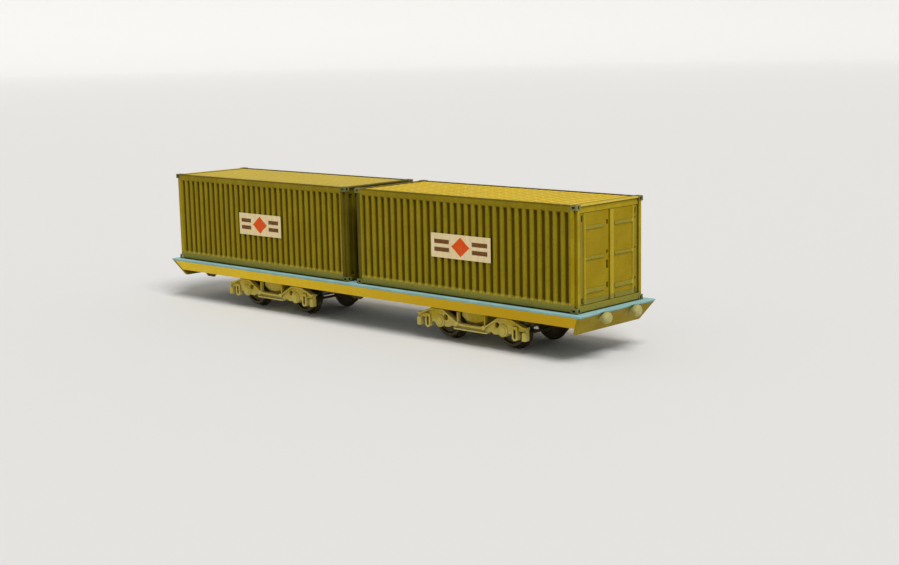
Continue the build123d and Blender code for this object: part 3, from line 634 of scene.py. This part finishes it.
def container_labels(letter):
    """A thin printed sheet on each side, which sinks a little between the ribs it is stuck to."""
    node = f"container_{letter}_labels"
    low, high = (Vector(corner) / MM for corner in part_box(node))
    middle, turn = CONTAINERS[letter]
    columns = [low.x + (high.x - low.x) * step / 120 for step in range(121)]
    rows = [low.z + (high.z - low.z) * step / 12 for step in range(13)]
    shape = bmesh.new()
    for sign in (-1, 1):
        def out(x, z):
            end = min(x - low.x, high.x - x, z - low.z, high.z - z)
            lifted = 0.02 * (1 - smooth(end / 0.5))
            return high.y - 0.02 - 0.06 * recess_share((x - middle) * turn) + lifted
        front = [[Vector((x, sign * out(x, z), z)) * MM for x in columns] for z in rows]
        back = [[Vector((x, sign * (CREST_Y + 0.005), z)) * MM for x in columns] for z in rows]
        closed_sheet(shape, front, back)
    add_piece(f"{node}_printed", shape, f"label_paper_{letter}", "label_paper", f"container_{letter}", node)


# Half of a wheelset as (radius, y) points: flange at the back, tread, rim, dished web and hub
WHEEL_PROFILE = (
    (1.0, 7.2), (4.2, 7.2), (5.5, 7.2), (5.68, 7.24), (5.77, 7.34), (5.8, 7.46), (5.76, 7.58), (5.62, 7.7),
    (5.42, 7.84), (5.2, 7.96), (5.08, 8.05), (5.03, 8.2), (4.99, 9.0), (4.96, 9.6), (4.9, 9.78), (4.78, 9.88),
    (4.6, 9.9), (4.15, 9.9), (4.03, 9.86), (3.95, 9.7), (3.88, 9.45), (3.75, 9.33), (3.4, 9.26), (2.2, 9.18),
    (2.0, 9.24), (1.88, 9.4), (1.84, 9.68), (1.74, 9.78), (1.0, 9.8),
)


def turned_wheels(number):
    """Both wheels of a wheelset, turned finely."""
    node = f"wheelset_{number}_wheels"
    low, high = (Vector(corner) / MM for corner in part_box(node))
    x, z = (low.x + high.x) / 2, (low.z + high.z) / 2
    steps = 96
    shape = bmesh.new()
    for sign in (-1, 1):
        rings = []
        for step in range(steps):
            angle = math.tau * step / steps
            points = [Vector((x + r * math.cos(angle), sign * y, z + r * math.sin(angle))) * MM
                      for r, y in WHEEL_PROFILE]
            rings.append([shape.verts.new(point) for point in points])
        for ring, following in zip(rings, rings[1:] + rings[:1]):
            for corners in zip(ring, ring[1:] + ring[:1], following[1:] + following[:1], following):
                shape.faces.new(corners)
    add_piece(f"{node}_turned", shape, "wheel_steel", "wheel_steel", f"wheelset_{number}", node)


for letter in CONTAINERS:
    container_wall(letter, "left", 1)
    container_wall(letter, "right", -1)
    container_roof(letter)
    container_labels(letter)
for number in (1, 2, 3, 4):
    turned_wheels(number)


# ---------------------------------------------------------------- studio

def studio_bowl():
    """A pale floor that curves up into a wall all the way round."""
    flat, rise, bend, steps = 4.0, 1.2, 0.8, 10
    profile = [(0.0, 0.0), (0.4, 0.0), (1.2, 0.0), (flat, 0.0)]
    for step in range(1, steps + 1):
        angle = math.radians(90 * step / steps)
        profile.append((flat + bend * math.sin(angle), bend * (1 - math.cos(angle))))
    profile.append((flat + bend, bend + rise))
    mesh = bpy.data.meshes.new("floor")
    bowl = bmesh.new()
    line = [bowl.verts.new((r, 0, z)) for r, z in profile]
    edges = [bowl.edges.new(pair) for pair in zip(line, line[1:])]
    bmesh.ops.spin(bowl, geom=line + edges, cent=(0, 0, 0), axis=(0, 0, 1), angle=math.tau, steps=96)
    bmesh.ops.remove_doubles(bowl, verts=bowl.verts, dist=1e-6)
    bmesh.ops.recalc_face_normals(bowl, faces=bowl.faces)
    bowl.to_mesh(mesh)
    mesh.polygons.foreach_set("use_smooth", [True] * len(mesh.polygons))
    floor = bpy.data.objects.new("floor", mesh)
    bpy.context.scene.collection.objects.link(floor)
    material = bpy.data.materials.new("floor")
    material.use_nodes = True
    surface = material.node_tree.nodes["Principled BSDF"]
    surface.inputs["Base Color"].default_value = (0.74, 0.735, 0.72, 1)
    surface.inputs["Roughness"].default_value = 0.9
    surface.inputs["Specular IOR Level"].default_value = 0.05
    mesh.materials.append(material)


def sun(name, towards, strength, spread_angle):
    """A wide, soft sun. Its light comes from the given direction."""
    light = bpy.data.lights.new(name, "SUN")
    light.energy = strength
    light.angle = math.radians(spread_angle)
    lamp = bpy.data.objects.new(name, light)
    lamp.rotation_mode = "QUATERNION"
    lamp.rotation_quaternion = Vector(towards).to_track_quat("Z", "Y")
    bpy.context.scene.collection.objects.link(lamp)


def camera():
    """The camera: 43 degrees round from the side, a little above the roof, rolled by about one degree."""
    place = Vector((0.3047, -0.2972, 0.0822))
    azimuth, elevation, roll = (math.radians(a) for a in (43.25, 9.51, -1.17))
    forward = Vector((-math.sin(azimuth) * math.cos(elevation), math.cos(azimuth) * math.cos(elevation),
                      -math.sin(elevation)))
    level = forward.cross(Vector((0, 0, 1))).normalized()
    up = level.cross(forward)
    right = math.cos(roll) * level + math.sin(roll) * up
    top = math.cos(roll) * up - math.sin(roll) * level
    data = bpy.data.cameras.new("camera")
    data.lens = 57.78
    data.sensor_width = 36
    data.clip_start = 0.01
    data.clip_end = 20
    eye = bpy.data.objects.new("camera", data)
    turn = Matrix((right, top, -forward)).transposed()
    eye.matrix_world = Matrix.Translation(place) @ turn.to_4x4()
    bpy.context.scene.collection.objects.link(eye)
    bpy.context.scene.camera = eye


studio_bowl()
sun("key", (0.5, -0.22, 0.84), 2.35, 28)
camera()

world = bpy.data.worlds.new("studio")
world.use_nodes = True
sky = world.node_tree.nodes["Background"]
sky.inputs["Color"].default_value = (1.0, 0.99, 0.97, 1)
sky.inputs["Strength"].default_value = 0.42
bpy.context.scene.world = world
bpy.context.scene.view_settings.view_transform = "Standard"
